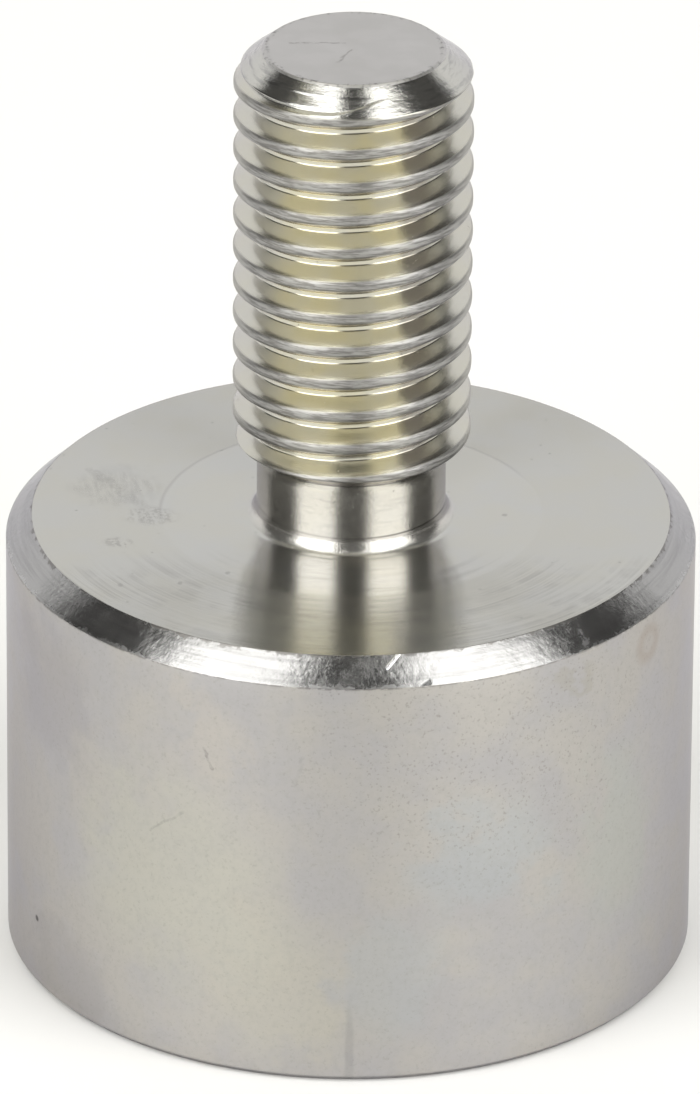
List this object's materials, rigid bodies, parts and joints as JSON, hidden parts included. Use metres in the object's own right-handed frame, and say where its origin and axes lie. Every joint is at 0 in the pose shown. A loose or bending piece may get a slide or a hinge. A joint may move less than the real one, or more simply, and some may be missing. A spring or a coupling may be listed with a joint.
{
  "type": "pot magnet",
  "caption": "Deep round pot magnet: a steel pot with a chamfered shoulder and an M12 threaded stud on top, a magnet core and a brass spacer ring set flush in its underside.",
  "frame": {"origin": "centre of the holding face, on the plane of the rim and the magnet's face", "axes": "+Z along the stud, away from the holding face"},
  "size_m": [0.034, 0.034, 0.0477],
  "materials": {
    "zinc_plated_steel": "bright zinc plate, satin on the side",
    "magnet_alloy": "ground cast magnet alloy",
    "spacer_brass": "turned"
  },
  "bodies": {
    "root": {"pot_body": "zinc_plated_steel", "magnet_core": "magnet_alloy", "spacer_ring": "spacer_brass"}
  },
  "joints": []
}
